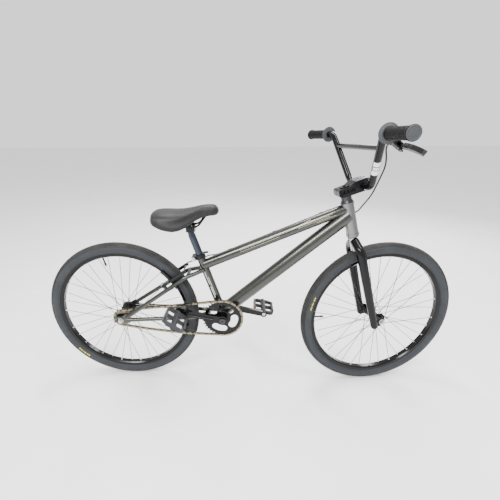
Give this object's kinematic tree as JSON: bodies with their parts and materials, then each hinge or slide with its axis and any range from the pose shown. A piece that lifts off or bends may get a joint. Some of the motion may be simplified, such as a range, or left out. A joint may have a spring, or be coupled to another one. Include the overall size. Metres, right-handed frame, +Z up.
{
  "type": "bmx bike",
  "caption": "Single-speed BMX bicycle with steering fork, high-rise handlebar, spinning wheels and cranks, chain drive, adjustable saddle and hand-operated rear rim brake.",
  "frame": {"origin": "on the ground, on the frame's centre plane, half way between the two wheel axles", "axes": "+X forwards, +Y to the bicycle's left, +Z up"},
  "size_m": [1.5975, 0.7056, 0.9979],
  "materials": {
    "frame_paint": "gloss metallic gunmetal",
    "head_paint": "gloss metallic silver grey",
    "black_paint": "gloss black",
    "black_alloy": "satin black",
    "bright_steel": "zinc plated",
    "chain_steel": "oiled",
    "spoke_steel": "bright",
    "tyre_rubber": "matt",
    "tube_rubber": "matt",
    "grip_rubber": "matt",
    "cable_sleeve": "smooth",
    "black_plastic": "moulded",
    "grey_plastic": "moulded",
    "saddle_cover": "smooth"
  },
  "bodies": {
    "frame": {"head_tube": "head_paint", "frame_bearings": "bright_steel", "seat_tube": "frame_paint", "top_tube": "frame_paint", "down_tube": "frame_paint", "bottom_bracket_shell": "frame_paint", "chainstays": "frame_paint", "seatstays": "frame_paint", "rear_dropouts": "frame_paint", "frame_fittings": "frame_paint", "rear_axle": "bright_steel", "chain_inner_links": "chain_steel", "chain_outer_links": "chain_steel", "brake_pivot_bolts": "bright_steel", "cable_front_loop": "cable_sleeve", "cable_top_run": "cable_sleeve", "cable_rear_loop": "cable_sleeve", "seat_clamp_collar": "black_alloy", "seat_clamp_bolt": "bright_steel"},
    "saddle_and_post": {"seatpost": "black_alloy", "saddle_clamp": "black_alloy", "saddle_rails": "bright_steel", "saddle_base": "black_plastic", "saddle_cushion": "saddle_cover"},
    "seat_clamp_cam": {"seat_clamp_lever": "bright_steel"},
    "steering": {"fork_legs": "black_paint", "fork_steerer": "bright_steel", "headset_races": "black_alloy", "front_axle": "bright_steel", "stem_body": "black_alloy", "stem_faceplate": "black_alloy", "stem_bolts": "bright_steel", "handlebar": "black_paint", "grips": "grip_rubber", "lever_bracket": "black_alloy"},
    "lever": {"brake_lever": "black_alloy"},
    "front_wheel": {"front_tyre": "tyre_rubber", "front_inner_tube": "tube_rubber", "front_rim": "black_alloy", "front_spokes": "spoke_steel", "front_hub": "black_alloy"},
    "rear_wheel": {"rear_tyre": "tyre_rubber", "rear_inner_tube": "tube_rubber", "rear_rim": "black_alloy", "rear_spokes": "spoke_steel", "rear_hub": "black_alloy"},
    "freewheel": {"freewheel_cog": "chain_steel"},
    "crankset": {"chainring": "black_paint", "crank_arm_right": "black_paint", "crank_arm_left": "black_paint", "crank_spindle": "bright_steel", "pedal_axles": "bright_steel"},
    "right_pedal": {"pedal_right": "grey_plastic"},
    "left_pedal": {"pedal_left": "black_plastic"},
    "left_brake_arm": {"brake_arm_left": "black_alloy", "brake_pad_left": "tube_rubber", "brake_noodle": "bright_steel"},
    "right_brake_arm": {"brake_arm_right": "black_alloy", "brake_pad_right": "tube_rubber", "brake_cable_link": "bright_steel"}
  },
  "joints": [
    {"name": "steering_turn", "type": "hinge", "parent": "frame", "child": "steering", "pos_m": [0.3461, 0, 0.68987], "axis": [-0.2974, 0, 0.9548], "range_deg": [-87.3, 72.7], "deforming": ["cable_front_loop"]},
    {"name": "front_wheel_spin", "type": "hinge", "parent": "steering", "child": "front_wheel", "pos_m": [0.49976, 0.00394, 0.29992], "axis": [-0.1213, 0.9919, -0.0378], "continuous": true},
    {"name": "rear_wheel_spin", "type": "hinge", "parent": "frame", "child": "rear_wheel", "pos_m": [-0.5, 0, 0.3], "axis": [0, 1, 0], "continuous": true},
    {"name": "crank_spin", "type": "hinge", "parent": "frame", "child": "crankset", "pos_m": [-0.10276, 0, 0.303], "axis": [0, 1, 0], "continuous": true, "deforming": ["chain_inner_links", "chain_outer_links"]},
    {"name": "cog_spin", "type": "hinge", "parent": "frame", "child": "freewheel", "pos_m": [-0.5, -0.042, 0.3], "axis": [0, 1, 0], "continuous": true},
    {"name": "right_pedal_spin", "type": "hinge", "parent": "crankset", "child": "right_pedal", "pos_m": [-0.27083, -0.1265, 0.34803], "axis": [0, 1, 0], "continuous": true},
    {"name": "left_pedal_spin", "type": "hinge", "parent": "crankset", "child": "left_pedal", "pos_m": [0.06531, 0.1265, 0.25796], "axis": [0, 1, 0], "continuous": true},
    {"name": "seatpost_slide", "type": "slide", "parent": "frame", "child": "saddle_and_post", "axis": [-0.3173, 0, 0.9483], "range_m": [-0.04, 0.05]},
    {"name": "seat_clamp_swing", "type": "hinge", "parent": "frame", "child": "seat_clamp_cam", "pos_m": [-0.20865, 0.0182, 0.54068], "axis": [-0.3173, 0, 0.9483], "range_deg": [0, 165]},
    {"name": "brake_lever_pull", "type": "hinge", "parent": "steering", "child": "lever", "pos_m": [0.38761, -0.19114, 0.93788], "axis": [-0.6093, -0.1045, -0.786], "range_deg": [0, 25], "stiffness_Nm_per_rad": 0.6, "springref_deg": -20.05},
    {"name": "left_brake_arm_swing", "type": "hinge", "parent": "frame", "child": "left_brake_arm", "pos_m": [-0.31375, 0.04, 0.42801], "axis": [0.5664, 0, -0.8241], "range_deg": [0, 3.6], "deforming": ["cable_rear_loop"]},
    {"name": "right_brake_arm_swing", "type": "hinge", "parent": "frame", "child": "right_brake_arm", "pos_m": [-0.31375, -0.04, 0.42801], "axis": [-0.5664, 0, 0.8241], "range_deg": [0, 3.6], "deforming": ["brake_cable_link"]}
  ],
  "couplings": [
    {"joint": "cog_spin", "follows": "crank_spin", "ratio": 2.375},
    {"joint": "left_brake_arm_swing", "follows": "brake_lever_pull", "ratio": 0.137},
    {"joint": "right_brake_arm_swing", "follows": "brake_lever_pull", "ratio": 0.137}
  ]
}
